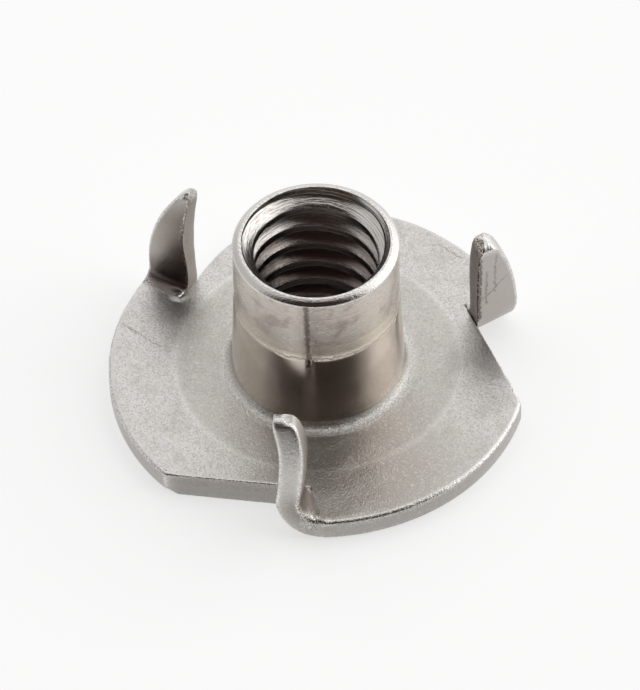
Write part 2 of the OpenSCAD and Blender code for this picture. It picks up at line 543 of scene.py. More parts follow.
@dataclass(frozen=True)
class Prong:
    """One prong, bent up from the segment beside a straight cut.

    Its middle line runs level from the fold, turns up through the bend, leans over the flange and curls
    back. Seen along the cut, its outer edge keeps the arc of the rim.

    Attributes:
        name: What the prong is called in the log.
        angle: Direction from the axis to the middle of its cut, in degrees.
        face: Offset of its inner face from the middle of the cut, towards the flange.
        bend_r: Inside radius of the bend at the rim.
        cut_bend_r: Inside radius of the bend at the cut.
        lean: How far the bend turns it past upright, in degrees.
        curl_z: Height at which it starts to curl back.
        curl_r: Radius of the curl, to the middle of the sheet.
        arc_z: Height of the middle of its outer arc.
        thickness: Thickness above the bend.
        tip_z: Height of the tip.
        tip_round: Length over which the width rounds off to the tip.
        tip_blunt: Length over which the thickness rounds off to the tip.
        tip_power: How square the tip is; 2 rounds it as an ellipse.
        roll: How far the inner face falls away beside the cut edge.
        roll_width: How far from the cut edge it starts to fall away.
        foot: How far the bottom of the cut wall stands out past its top.
        level_tip: How level the tip is cut; at 0 it is square to the middle line.
        stain: How much shade is painted on the inner face beside the cut edge and near its foot, for the dark
            reflections there.
        cut_stain: How much shade is painted on the cut wall.
    """

    name: str
    angle: float
    face: float
    bend_r: float
    cut_bend_r: float
    lean: float
    curl_z: float
    curl_r: float
    arc_z: float
    thickness: float
    tip_z: float
    tip_round: float = 0.8
    tip_blunt: float = 0.34
    tip_power: float = 2.0
    roll: float = 0.12
    roll_width: float = 1.3
    foot: float = 0.1
    level_tip: float = 0.0
    stain: float = 0.0
    cut_stain: float = 0.0

    # Step of the running sums, radius of the slight curve below the curl, and how softly the curl starts
    STEP = 0.01
    BACK_R = 30.0
    CURL_SOFT = 0.35
    # Least offset along the cut at which the rim's circle is taken, and least width of a prong
    LEAST_BACK = 1.0
    LEAST_WIDTH = 0.3
    # Lengths past the fold over which the cut edge settles to its inset and its foot draws in
    SETTLE = 0.35
    FOOT_FADE = 1.2
    # Length and height of the waves in the rolled inner face
    ROLL_WAVE = 6.0
    ROLL_SWELL = 0.4
    BEND_RINGS = 19
    RUN_RINGS = 36
    TIP_RINGS = 15

    def bend_length(self, bend_r: float) -> float:
        """Length of the middle line through a bend of the given inside radius."""
        return (bend_r + self.thickness / 2) * (np.pi / 2 + np.radians(self.lean))

    def spine(self, gauge: Gauge, bend_r: float) -> np.ndarray:
        """The middle line of the prong.

        Its curvature is that of the bend at first, then slight, and rises to that of the curl. The running
        sum of its curvature is its direction, and the running sum of its direction is its place.

        Args:
            gauge: The driving sizes.
            bend_r: Inside radius of the bend.

        Returns:
            For each ring past the fold: length along the line, offset from the middle of the cut, height,
            lean from upright, and the shares of the bend, of the tip and of its blunt end that lie behind it.
        """
        s = np.arange(0, 3 * self.tip_z, self.STEP)
        lean = np.radians(self.lean)
        bend_mid = bend_r + self.thickness / 2
        bend_length = self.bend_length(bend_r)
        bend_top = gauge.sheet + bend_r + bend_mid * np.sin(lean)
        curl_s = bend_length + (self.curl_z - bend_top) / np.cos(lean)
        curling = 1 / (1 + np.exp(-(s - curl_s) / self.CURL_SOFT))
        above = (1 - curling) / self.BACK_R + curling / self.curl_r
        turning = np.where(s < bend_length, 1 / bend_mid, -above)
        leaning = -np.pi / 2 + np.concatenate([[0], np.cumsum(turning)[:-1]]) * self.STEP
        across = self.face + bend_r + np.concatenate([[0], np.cumsum(np.sin(leaning))[:-1]]) * self.STEP
        up = gauge.sheet / 2 + np.concatenate([[0], np.cumsum(np.cos(leaning))[:-1]]) * self.STEP
        climbs = np.cos(leaning) > 0.2
        end = float(np.interp(self.tip_z, up[climbs], s[climbs]))
        dome = end - self.tip_round
        rings = np.concatenate([
            np.linspace(0, bend_length, self.BEND_RINGS)[1:],
            np.linspace(bend_length, dome, self.RUN_RINGS)[1:],
            dome + self.tip_round * np.sin(np.radians(np.linspace(0, 90, self.TIP_RINGS)[1:])),
        ])
        return np.stack([rings, *(np.interp(rings, s, line) for line in (across, up, leaning)),
                         np.clip(rings / bend_length, 0, 1), np.clip((rings - dome) / self.tip_round, 0, 1),
                         np.clip(1 - (end - rings) / self.tip_blunt, 0, 1)])

    def rounding(self, closing: np.ndarray) -> np.ndarray:
        """How much of a width is left towards the tip: 1 to 0 as a quarter of a superellipse."""
        return np.clip(1 - closing ** self.tip_power, 0, 1) ** (1 / self.tip_power)

    def out_from_axis(self, gauge: Gauge, form: RingForm, s: np.ndarray, z: np.ndarray, fold: np.ndarray,
                      wide: np.ndarray) -> np.ndarray:
        """How far each point lies from the axis along the prong's own direction.

        It runs from the cut to the arc, where the arc is the rim's circle before the bend and the same circle
        about the height arc_z above it.

        Args:
            gauge: The driving sizes.
            form: The ring's form.
            s: Lengths along the middle line.
            z: Heights.
            fold: Offset of the fold from the middle of the cut.
            wide: How much of the width is left towards the tip.

        Returns:
            The distances.
        """
        rise = np.maximum(z - self.arc_z, 0)
        back = np.maximum(fold - s, self.LEAST_BACK)
        arc = gauge.rim_r ** 2 - back ** 2 - rise ** 2
        outer = np.sqrt(np.maximum(arc, (gauge.cut + self.LEAST_WIDTH) ** 2))
        middle = (gauge.cut + outer) / 2
        settled = smoothstep(0, self.SETTLE, s)
        foot = self.foot * (1 - form.level) * (1 - smoothstep(0, self.FOOT_FADE, s))
        near = gauge.cut + form.from_cut * (2 * settled - 1) + foot
        far = outer - form.from_rim
        return middle + (near + (far - near) * form.share - middle) * wide

    def tags(self, form: RingForm, near_cut: np.ndarray, z: np.ndarray, bent: np.ndarray,
             closing: np.ndarray) -> dict[str, np.ndarray]:
        """The tags of the prong's rings past the first, with a first ring that has only those of its form.

        Args:
            form: The ring's form.
            near_cut: 1 beside the cut and 0 away from it.
            z: Heights.
            bent: Shares of the bend.
            closing: Shares of the tip.

        Returns:
            One number a point for each tag's name.
        """
        count, across = len(z) + 1, len(form.share)
        # Highlights painted into the colour: at the tip, where its wear also stands in for the tip's
        # highlight, and on the rim edge where the bend starts
        ends = 0.8 * smoothstep(0.0, 0.6, closing[:, :1])
        at_ends = np.exp(-(form.share / 0.12) ** 2) + np.exp(-((1 - form.share) / 0.2) ** 2)
        bend_glint = np.exp(-((bent - 0.3) / 0.22) ** 2) * at_ends * form.level
        low_down = smoothstep(4.0, 2.2, z)
        # Shade painted on the inner face, beside the cut edge and low down near the foot, for the dark
        # reflections there
        stain = self.stain * form.level * np.clip(near_cut + low_down, 0, 1) * smoothstep(0.0, 0.2, bent)
        stain = stain * smoothstep(self.tip_z - 0.4, self.tip_z - 2.0, z) * (1 - form.cut_wall)
        raised = smoothstep(0, 0.9, bent[:, :1])

        def with_first(values: np.ndarray) -> np.ndarray:
            """Puts a ring of zeros before the values."""
            return np.concatenate([np.zeros((1, across)), np.broadcast_to(values, z.shape)])

        return {
            "wear": np.maximum(form.wear, with_first(np.maximum(ends, bend_glint))).ravel(),
            "stain": (with_first(stain) + self.cut_stain * form.cut_wall).ravel(),
            "cut": np.broadcast_to(form.cut, (count, across)).ravel(),
            "drawn": np.zeros(count * across),
            "prong": (with_first(raised) * (1 - form.arc_wall)).ravel(),
        }

    def surface(self, gauge: Gauge, first_ring: np.ndarray, steps: int) -> Surface:
        """The tube of rings from the fold to the tip.

        Each ring goes up the cut edge, out along the inner face, down the arc edge and back along the outer
        face. Across the prong it runs straight from the bend at the cut to the bend at the rim, so the bend
        is a cone. At the tip its width and thickness shrink as quarters of superellipses until they close.

        Args:
            gauge: The driving sizes.
            first_ring: Points of the flange that the first ring uses.
            steps: How many rows cross each face.

        Returns:
            The prong's surface, open at the fold.
        """
        form = RingForm.with_steps(steps)
        at_cut = self.spine(gauge, self.cut_bend_r)[..., None]
        at_rim = self.spine(gauge, self.bend_r)[..., None]
        s, u, z, lean, bent, closing, blunting = at_cut + (at_rim - at_cut) * form.share
        fold = self.face + self.cut_bend_r + (self.bend_r - self.cut_bend_r) * form.share
        thick = gauge.sheet + (self.thickness - gauge.sheet) * smoothstep(0, 1, bent)
        wide, blunt = self.rounding(closing), self.rounding(blunting)
        inner_blunt, outer_blunt = blunt ** (1 + 0.8 * self.level_tip), blunt ** (1 - 0.7 * self.level_tip)
        w = (form.level - 0.5) * thick * np.where(form.level > 0.5, inner_blunt, outer_blunt)
        v = self.out_from_axis(gauge, form, s, z - w * np.sin(lean), fold, wide)
        near_cut = np.clip(1 - (v - gauge.cut) / self.roll_width, 0, 1)
        wavy = 1 + self.ROLL_SWELL * np.cos(TURN * (z - 2 * gauge.sheet) / self.ROLL_WAVE)
        w = w - self.roll * wavy * near_cut ** 2 * form.level * smoothstep(0.3, 0.8, bent) * wide
        place_u = u + w * np.cos(lean)
        place_z = z - w * np.sin(lean) * (1 - self.level_tip * smoothstep(0, 1, closing))

        turn = np.radians(self.angle)
        outward = np.array([np.cos(turn), np.sin(turn), 0])
        along = np.array([-np.sin(turn), np.cos(turn), 0])
        upward = np.array([0, 0, 1])
        points = v[..., None] * outward + place_u[..., None] * along + place_z[..., None] * upward
        flat_z = np.broadcast_to(form.level * gauge.sheet, v.shape)
        blank = v[..., None] * outward + (fold - s)[..., None] * along + flat_z[..., None] * upward
        points = np.concatenate([first_ring[None], points])
        blank = np.concatenate([first_ring[None], blank])
        rings, ring = points.shape[:2]
        number = np.arange(rings * ring).reshape(rings, ring)
        onward = np.roll(number, -1, axis=1)
        faces = np.stack([number[:-1], number[1:], onward[1:], onward[:-1]], axis=-1).reshape(-1, 4)
        return Surface(points.reshape(-1, 3), faces, self.tags(form, near_cut, z, bent, closing),
                       blank.reshape(-1, 3))


@dataclass(frozen=True)
class Columns:
    """The columns of the grid, one value for each.

    Attributes:
        angle: Angle from the axis out to the shoulder, where the edge starts beside a cut.
        rim_angle: Angle at the outline; it differs beside a fold, whose line doesn't point at the axis.
        shoulder: Radius out to which the column is level everywhere.
        outline: Radius of the outline.
        inset: Inset of the rounded edge.
        drop: Drop of the rounded edge.
        cut: 1 beside a cut, 0 on the rim.
        foot: How far the lower face reaches out past the shoulder.
        wall_foot: How far the bottom of the edge stands out past its top.
        corner: 1 at the corners between the cuts and the rim, 0 away from them.
        folds: Numbers of the columns that end a cut; each is followed by the column that starts the rim.
    """

    angle: np.ndarray
    rim_angle: np.ndarray
    shoulder: np.ndarray
    outline: np.ndarray
    inset: np.ndarray
    drop: np.ndarray
    cut: np.ndarray
    foot: np.ndarray
    wall_foot: np.ndarray
    corner: np.ndarray
    folds: list[int]


@dataclass(frozen=True)
class Nick:
    """A nick in the outline, or a bulge where its depth is negative.

    Attributes:
        angle: Direction from the axis, in degrees.
        depth: Its depth.
        width: Its half width, in degrees.
    """

    angle: float
    depth: float
    width: float

    def bite(self, angle: np.ndarray) -> np.ndarray:
        """How much it takes off the outline's radius: a Gaussian of the angle in radians."""
        return self.depth * np.exp(-((angle - np.radians(self.angle)) / np.radians(self.width)) ** 2)


@dataclass
class NutBody:
    """The whole nut as one closed surface.

    Attributes:
        gauge: The driving sizes.
        thread: The thread's form.
        barrel: The barrel's form.
        prongs: The three prongs, in the order of their angles.
        cut_steps: Columns along each cut.
        rim_steps: Columns along each stretch of rim.
        edge_steps: Rows from the shoulder to the rim's edge.
        corner_power: How sharp the corners between cuts and rim are.
        nicks: The nicks in the outline.
    """

    gauge: Gauge
    thread: Thread
    barrel: Barrel
    prongs: list[Prong]
    cut_steps: int = 44
    rim_steps: int = 62
    edge_steps: int = 10
    corner_power: float = 260.0
    nicks: tuple[Nick, ...] = (Nick(-4.9, 0.2, 0.9), Nick(1.5, 0.05, 1.2), Nick(-131.0, 0.04, 0.8),
                              Nick(132.0, -0.3, 11.0))

    BORE_FOOT = 0.12
    ENTRY_ROWS = 5
    UNDER_ROWS = 13
    TOP_ROWS = 26
    # How far the wear at a corner reaches, and over how far the edge changes there to the form of the cut's
    CORNER = np.radians(0.7)
    CUT_EASE = np.radians(4)
    SHEET_SWELLS = (Swell(0.010, 5.0, seed=3), Swell(0.005, 1.7, seed=4))
    WALL_SWELL = Swell(0.003, 2.4, seed=5)
    # Middles of the burrs at the feet of the prongs, their reach and height, and the waves in them
    BURRS = ((1.75, -11.05, 1.4), (-8.2, 3.75, 1.45), (7.55, 4.85, 1.5))
    BURR_REACH = 0.38
    BURR_HEIGHT = 0.07
    BURR_SWELL = Swell(0.05, 0.5, seed=6)

    def outline(self, angle: np.ndarray) -> np.ndarray:
        """Radius where a straight cut meets the rim: a soft least of the two, by a high power mean.

        Args:
            angle: Angles from the middle of the cut.

        Returns:
            The radius at each angle.
        """
        straight = self.gauge.cut / np.clip(np.cos(angle), 0.2, 1)
        power = self.corner_power
        return (straight ** -power + self.gauge.rim_r ** -power) ** (-1 / power)

    def cut_columns(self, prong: Prong, fold: float) -> dict[str, np.ndarray]:
        """The columns along a cut, from the rim to the fold, as seen from the middle of the cut.

        Args:
            prong: The prong that the cut frees.
            fold: Angle of its fold.

        Returns:
            The values of the columns.
        """
        reach = self.gauge.cut_reach
        away = crowd(-reach, fold, self.cut_steps + 1)
        ease = smoothstep(-reach, self.CUT_EASE - reach, away)
        inset = RIM_EDGE.inset + (CUT_EDGE.inset - RIM_EDGE.inset) * ease
        turned = away + np.radians(prong.angle)
        outline = self.outline(away) - sum(nick.bite(turned) for nick in self.nicks)
        return dict(
            angle=away, rim_angle=away, shoulder=outline - inset, outline=outline, inset=inset,
            drop=RIM_EDGE.drop + (CUT_EDGE.drop - RIM_EDGE.drop) * ease, cut=ease,
            foot=prong.foot * ease, wall_foot=prong.foot * ease,
            corner=np.exp(-((away + reach) / self.CORNER) ** 2),
        )

    def rim_columns(self, prong: Prong, fold: float, last: float) -> dict[str, np.ndarray]:
        """The columns along the rim, from a fold to the next cut, as seen from the middle of the first cut.

        Args:
            prong: The prong that starts at the fold.
            fold: Angle of its fold.
            last: Radius of the shoulder at the end of the cut.

        Returns:
            The values of the columns.
        """
        end = TURN / 3 - self.gauge.cut_reach
        away = crowd(fold, end, self.rim_steps + 1)[:-1]
        share = (away - fold) / (end - fold)
        outline = self.outline(away - TURN / 3)
        rim_fold = prong.face + prong.bend_r
        at_rim = np.arctan2(rim_fold, np.sqrt(self.gauge.rim_r ** 2 - rim_fold ** 2))
        return dict(
            angle=away, rim_angle=away - (fold - at_rim) * (1 - smoothstep(0, 0.4, share)),
            shoulder=last + (outline - RIM_EDGE.inset - last) * smoothstep(0, 1, share), outline=outline,
            inset=np.full_like(away, RIM_EDGE.inset), drop=np.full_like(away, RIM_EDGE.drop),
            cut=np.zeros_like(away), foot=prong.foot * (1 - smoothstep(0, 0.2, share)),
            wall_foot=np.zeros_like(away), corner=np.exp(-((end - away) / self.CORNER) ** 2),
        )

    def columns(self) -> Columns:
        """Lays out the columns: for each prong the cut up to its fold, then the rim up to the next cut.

        Returns:
            The columns.
        """
        parts: list[dict[str, np.ndarray]] = []
        folds: list[int] = []
        for prong in self.prongs:
            fold = float(np.arctan2(prong.face + prong.cut_bend_r, self.gauge.cut - CUT_EDGE.inset))
            cut = self.cut_columns(prong, fold)
            rim = self.rim_columns(prong, fold, cut["shoulder"][-1])
            parts += [cut, rim]
            folds.append(sum(len(part["angle"]) for part in parts) - len(rim["angle"]) - 1)
            for part in (cut, rim):
                part["angle"] = part["angle"] + np.radians(prong.angle)
                part["rim_angle"] = part["rim_angle"] + np.radians(prong.angle)
        values = {name: np.concatenate([part[name] for part in parts]) for name in parts[0]}
        closed = {name: np.append(value, value[0]) for name, value in values.items()}
        for name in ("angle", "rim_angle"):
            closed[name][-1] += TURN
        return Columns(folds=folds, **closed)

    def bore_rows(self, columns: Columns) -> tuple[np.ndarray, np.ndarray]:
        """The rows down the bore: each follows the helix at its own place in the thread's form.

        The radius is the greatest of the thread, the countersink and the rounded entry, and rows that would
        leave the bore gather at its ends.

        Args:
            columns: The grid's columns.

        Returns:
            The points, and for each how much of a crest's edge it is.
        """
        top = self.gauge.mouth_z - self.barrel.lip_round
        bottom = self.BORE_FOOT
        turn = columns.angle / TURN
        thread = self.thread
        low = int(np.floor((thread.start_z - top) / thread.pitch + turn.min())) - 1
        high = int(np.ceil((thread.start_z - bottom) / thread.pitch + turn.max())) + 1
        place = thread.turns(low, high)[:, None]
        z = np.clip(thread.start_z + thread.pitch * (turn - place), bottom, top)
        groove = np.minimum(thread.radius(place, self.gauge.crest_r),
                            self.barrel.land_r + thread.run_out * (top - z))
        radius = np.maximum(np.maximum(groove, self.barrel.cone_radius(z, self.gauge)),
                            self.barrel.entry_radius(z, self.gauge))
        off = np.abs(place - np.round(place))
        worn = np.exp(-((off - thread.crest_flat / 2) / 0.05) ** 2) * (radius < self.gauge.crest_r + 0.2)
        return polar(radius, columns.angle, z), worn

    def grid(self, columns: Columns) -> tuple[np.ndarray, dict[str, np.ndarray], tuple[int, int]]:
        """All rows of the grid, in a loop from the foot over the barrel and round the flange.

        Args:
            columns: The grid's columns.

        Returns:
            The points by row and column, their tags, and the rows of the lower and upper shoulder.
        """
        sheet = self.gauge.sheet
        rows: list[np.ndarray] = []
        tags: dict[str, list[np.ndarray]] = {name: [] for name in TAGS}

        def add(points: np.ndarray, **values: np.ndarray | float) -> None:
            """Adds rows of points with their tags, which are 0 where none is given."""
            rows.append(points)
            for name, tag in tags.items():
                tag.append(np.broadcast_to(values.get(name, 0.0), points.shape[:2]))

        barrel = self.barrel
        outside = barrel.outside(self.gauge)
        rim_z = self.gauge.mouth_z
        edges = ((barrel.top_r, rim_z - barrel.bevel_h), (barrel.top_r - barrel.bevel_w, rim_z),
                 (barrel.land_r, rim_z))
        worn = sum(np.exp(-((outside - np.array(place)) ** 2).sum(axis=1) / 0.008) for place in edges)
        drawn = smoothstep(sheet + 0.25, sheet + 0.55, outside[:, 1])
        add(polar(outside[:, :1], columns.angle, outside[:, 1:]),
            wear=np.clip(worn, 0, 1)[:, None], drawn=drawn[:, None])
        bore, worn = self.bore_rows(columns)
        add(bore, wear=0.6 * worn, drawn=1.0)

        start = self.gauge.crest_r + barrel.entry_r
        foot_r = barrel.entry_radius(self.BORE_FOOT, self.gauge)
        entry_r = np.linspace(foot_r, start, self.ENTRY_ROWS + 1)[1:, None]
        entry_z = barrel.entry_r - np.sqrt(barrel.entry_r ** 2 - (start - entry_r) ** 2)
        add(polar(entry_r, columns.angle, entry_z))
        under = np.linspace(0, 1, self.UNDER_ROWS + 1)[1:, None]
        low_shoulder = columns.shoulder + columns.foot
        add(polar(start + (low_shoulder - start) * under, columns.angle, 0.0))
        lower = sum(len(row) for row in rows) - 1

        share = (np.arange(1, self.edge_steps + 1) / self.edge_steps)[:, None]
        inner = polar(low_shoulder, columns.angle, 0.0)
        edge = polar(columns.outline - columns.inset + columns.wall_foot, columns.rim_angle, 0.0)
        add(inner + (edge - inner) * share[..., None])
        inward, height = edge_rows(columns.inset, columns.drop, np.full_like(columns.inset, sheet))
        edge_r = columns.outline - inward + columns.wall_foot * (1 - height / sheet)
        add(polar(edge_r, columns.rim_angle, height),
            wear=np.maximum(EDGE_WEAR[:, None], columns.corner),
            cut=EDGE_CUT[:, None] * (0.5 + 0.5 * columns.cut))
        inner = polar(columns.shoulder, columns.angle, sheet)
        edge = polar(columns.outline - columns.inset, columns.rim_angle, sheet)
        add(inner + (edge - inner) * share[::-1, None])
        upper = sum(len(row) for row in rows)
        share = np.linspace(0, 1, self.TOP_ROWS + 1)[:-1, None]
        radius = columns.shoulder + (outside[0, 0] - columns.shoulder) * share
        add(polar(radius, columns.angle, sheet))
        joined = {name: np.concatenate(tag) for name, tag in tags.items()}
        return np.concatenate(rows), joined, (lower, upper)

    def relief(self, surface: Surface) -> None:
        """Moves points along their normals in long low waves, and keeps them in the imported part's box.

        Args:
            surface: The surface, whose points are moved in place.
        """
        points = surface.points
        sheet_like = 1 - surface.tags["drawn"]
        inside = smoothstep(4.6, 5.6, np.hypot(points[:, 0], points[:, 1]))
        above = smoothstep(0.05, 0.3, points[:, 2]) * smoothstep(0.05, 0.5, self.gauge.mouth_z - points[:, 2])
        height = sum(swell.at(points) for swell in self.SHEET_SWELLS) * sheet_like * inside * above
        height += self.WALL_SWELL.at(points * np.array([1, 1, 0.5])) * (1 - sheet_like) * above
        raised = self.BURR_HEIGHT + self.BURR_SWELL.at(points)
        for burr in self.BURRS:
            near = np.exp(-(np.linalg.norm(points - np.array(burr), axis=1) / self.BURR_REACH) ** 2)
            height += near * raised
        low, high = (np.array(corner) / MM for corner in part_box(NODE))
        surface.points = np.clip(points + surface.normals() * height[:, None], low, high)

    def build(self) -> Surface:
        """Builds the grid, leaves out the walls at the folds, adds the prongs there and welds it all.

        Returns:
            The closed surface.
        """
        columns = self.columns()
        points, tags, (lower, upper) = self.grid(columns)
        count, across = points.shape[:2]
        number = np.arange(count * across).reshape(count, across)
        below = np.roll(number, -1, axis=0)
        faces = np.stack([number[:, :-1], number[:, 1:], below[:, 1:], below[:, :-1]], axis=-1)
        keep = np.ones(faces.shape[:2], bool)
        for fold in columns.folds:
            keep[lower:upper, fold] = False
        surface = Surface(points.reshape(-1, 3), faces[keep],
                          {name: tag.ravel() for name, tag in tags.items()}, points.reshape(-1, 3).copy())
        edge = slice(lower + 1 + self.edge_steps, upper - self.edge_steps)
        for prong, fold in zip(self.prongs, columns.folds):
            ring = np.concatenate([points[lower:lower + 1, fold + 1], points[edge, fold],
                                   points[lower + 1:upper + 1, fold + 1][::-1]])
            tube = prong.surface(self.gauge, ring, self.edge_steps)
            log.info("prong %s: %d faces", prong.name, len(tube.faces))
            surface = surface.joined(tube)
        surface = surface.welded()
        self.relief(surface)
        return surface


@dataclass(frozen=True)
class Value:
    """What a node works out. With another value or a number, each +, - and * adds a Math node.

    Attributes:
        sheet: The tree that is being wired.
        socket: The output that holds it.
    """

    sheet: "Sheet"
    socket: bpy.types.NodeSocket

    def __add__(self, other: "Value | float") -> "Value":
        """The sum."""
        return self.sheet.math("ADD", self, other)

    def __sub__(self, other: "Value | float") -> "Value":
        """The difference."""
        return self.sheet.math("SUBTRACT", self, other)

    def __rsub__(self, other: float) -> "Value":
        """The difference between a number and this."""
        return self.sheet.math("SUBTRACT", other, self)

    def __mul__(self, other: "Value | float") -> "Value":
        """The product."""
        return self.sheet.math("MULTIPLY", self, other)

    def clamped(self) -> "Value":
        """The same value, which its Math node now keeps between 0 and 1."""
        self.socket.node.use_clamp = True
        return self


class Sheet:
    """A node tree that is being wired: each call adds a node and links or sets its inputs."""

    def __init__(self, tree: bpy.types.NodeTree) -> None:
        """Empties the tree and keeps it."""
        tree.nodes.clear()
        self.tree = tree

    def add(self, kind: str, inputs: dict[str | int, object] | None = None,
            **settings: object) -> bpy.types.Node:
        """Adds a node.

        Args:
            kind: The node's type.
            inputs: What its inputs get, by name or number: a value of another node, or a constant.
            **settings: Properties of the node.

        Returns:
            The new node.
        """
        node = self.tree.nodes.new(kind)
        for name, setting in settings.items():
            setattr(node, name, setting)
        for key, given in (inputs or {}).items():
            if isinstance(given, Value):
                self.tree.links.new(given.socket, node.inputs[key])
            else:
                node.inputs[key].default_value = given
        return node

    def value(self, kind: str, inputs: dict[str | int, object] | None = None, output: str | int = 0,
              **settings: object) -> Value:
        """Adds a node and returns one of its outputs."""
        return Value(self, self.add(kind, inputs, **settings).outputs[output])

    def math(self, operation: str, first: object, second: object = 0.0) -> Value:
        """Adds a Math node."""
        return self.value("ShaderNodeMath", {0: first, 1: second}, operation=operation)

    def vector(self, operation: str, first: object, second: object = (0.0, 0.0, 0.0)) -> Value:
        """Adds a Vector Math node that gives a vector."""
        return self.value("ShaderNodeVectorMath", {0: first, 1: second}, operation=operation)

    def measure(self, operation: str, first: object, second: object = (0.0, 0.0, 0.0)) -> Value:
        """Adds a Vector Math node that gives a number."""
        return self.value("ShaderNodeVectorMath", {0: first, 1: second}, "Value", operation=operation)

    def noise(self, place: Value, scale: float, detail: float, rough: float) -> Value:
        """Adds a Noise Texture in millimetres."""
        inputs = {"Vector": place, "Scale": scale, "Detail": detail, "Roughness": rough}
        return self.value("ShaderNodeTexNoise", inputs, "Fac")

    def spread(self, value: Value, low: float, high: float, to_low: float = 0.0,
               to_high: float = 1.0) -> Value:
        """Adds a smooth Map Range node."""
        inputs = {"Value": value, "From Min": low, "From Max": high, "To Min": to_low, "To Max": to_high}
        return self.value("ShaderNodeMapRange", inputs, "Result", interpolation_type="SMOOTHSTEP")

    def tag(self, name: str, output: str = "Fac") -> Value:
        """Adds an Attribute node for a tag of the mesh."""
        return self.value("ShaderNodeAttribute", None, output, attribute_name=name)

    def blend(self, share: Value, first: object, second: object) -> Value:
        """Adds a Mix node for numbers."""
        return self.value("ShaderNodeMix", {0: share, 2: first, 3: second})

    def coated(self, colour: object, *coats: tuple[Value, object]) -> Value:
        """Lays coats over a colour, with a colour Mix node for each.

        Args:
            colour: The colour under the coats.
            *coats: For each coat how much of it there is and its colour, the lowest one first.

        Returns:
            The colour with all its coats.
        """
        for share, coat in coats:
            colour = self.value("ShaderNodeMix", {0: share, 6: colour, 7: coat}, 2, data_type="RGBA")
        return colour


@dataclass(frozen=True)
class Scratch:
    """A fine scratch, straight in the flat blank.

    Attributes:
        start: One end, in millimetres.
        end: The other end.
        width: Half of its width.
        dark: How much it darkens the steel.
    """

    start: Place
    end: Place
    width: float = 0.05
    dark: float = 0.4

    def mask(self, sheet: Sheet, place: Value) -> Value:
        """Wires the scratch: 1 on the straight line between its ends and 0 beside it.

        Args:
            sheet: The material's tree.
            place: Where the shaded point lies in the blank.

        Returns:
            The mask.
        """
        way = Vector(self.end) - Vector(self.start)
        apart = sheet.vector("SUBTRACT", place, self.start)
        share = sheet.measure("DOT_PRODUCT", apart, tuple(way / way.length_squared)) + 0.0
        scaled = {0: tuple(way), "Scale": share.clamped()}
        foot = sheet.value("ShaderNodeVectorMath", scaled, operation="SCALE")
        return sheet.spread(sheet.measure("DISTANCE", apart, foot), self.width, 0.3 * self.width)


@dataclass(frozen=True)
class PaintedShade:
    """A shade painted on the sheet: a dark patch that stands in for the shade and dark reflection beside a
    prong's bend.

    Attributes:
        middle: Its middle, in millimetres.
        reach: How far it reaches.
        strength: How dark it is in the middle.
    """

    middle: Place
    reach: float
    strength: float

    def mask(self, sheet: Sheet, place: Value) -> Value:
        """Wires the painted shade, which is strongest in its middle."""
        apart = sheet.measure("DISTANCE", place, self.middle)
        return sheet.spread(apart, self.reach, 0.0, 0.0, self.strength)


@dataclass(frozen=True)
class Zones:
    """The nut's zones, each from 0 to 1, and the places and noises that break them up.

    Attributes:
        blank: Where the shaded point lay in the flat blank, in millimetres.
        radius: Its distance from the axis.
        height: Its height.
        fine: Fine grain.
        speck: Specks.
        patch: Patches.
        lines: Fine lines round the barrel and along the thread.
        shear: Upright streaks.
        wear: Worn edges, and the highlights painted at the prongs' tips and bends.
        cut: Sheared walls.
        prong: Prongs, past the fold.
        stain: The shade painted on them.
        bore: Thread and countersink.
        rim: The rim's flat and bevel.
        band: The wall above the shoulder.
        wall: The wall below it.
        foot: The fillet at the barrel's foot.
        outer: The sheet outside the ring that drawing left.
        ring: That ring.
    """

    blank: Value
    radius: Value
    height: Value
    fine: Value
    speck: Value
    patch: Value
    lines: Value
    shear: Value
    wear: Value
    cut: Value
    prong: Value
    stain: Value
    bore: Value
    rim: Value
    band: Value
    wall: Value
    foot: Value
    outer: Value
    ring: Value

    @classmethod
    def wired(cls, sheet: Sheet, gauge: Gauge, barrel: Barrel, grain: float) -> "Zones":
        """Wires the zones.

        Args:
            sheet: The material's tree.
            gauge: The driving sizes.
            barrel: The barrel, whose form bounds the zones.
            grain: Grains for each millimetre.

        Returns:
            The zones.
        """
        blank = sheet.tag("blank", "Vector")
        wear, stain, drawn, cut, prong = (sheet.tag(name) for name in TAGS)
        x, y, height = (Value(sheet, axis) for axis in sheet.add("ShaderNodeSeparateXYZ", {0: blank}).outputs)
        radius = sheet.measure("LENGTH", sheet.vector("MULTIPLY", blank, (1.0, 1.0, 0.0)))
        speck = sheet.noise(blank, 4.5, 3.0, 0.65)
        round_about = sheet.value("ShaderNodeCombineXYZ", {0: radius * 16.0, 1: height * 7.0, 2: x + y})

        bore = drawn * sheet.spread(radius, barrel.land_r + 0.06, barrel.land_r)
        shell = drawn - bore
        bevel_z = gauge.mouth_z - barrel.bevel_h
        rim = shell * sheet.spread(height, bevel_z - 0.03, bevel_z + 0.03)
        shell = shell - rim
        ragged = height + sheet.spread(speck, 0.3, 0.7, -0.08, 0.08)
        band = shell * sheet.spread(ragged, barrel.shoulder_z - 0.1, barrel.shoulder_z + 0.02)
        ring_r = barrel.ring_r
        near_ring = sheet.spread(radius, ring_r - 0.35, ring_r) * sheet.spread(radius, ring_r + 0.35, ring_r)
        return cls(
            blank=blank, radius=radius, height=height, speck=speck,
            fine=sheet.noise(blank, grain, 3.0, 0.6),
            patch=sheet.noise(blank, 0.8, 4.0, 0.6),
            lines=sheet.noise(round_about, 1.0, 3.0, 0.6),
            shear=sheet.noise(sheet.vector("MULTIPLY", blank, (5.0, 5.0, 1.2)), 1.0, 3.0, 0.6),
            wear=wear, cut=cut, prong=prong, stain=stain, bore=bore, rim=rim, band=band, wall=shell - band,
            foot=(1.0 - drawn) * sheet.spread(radius, 5.5, 5.2),
            outer=sheet.spread(radius, ring_r - 0.1, ring_r + 0.1), ring=near_ring,
        )


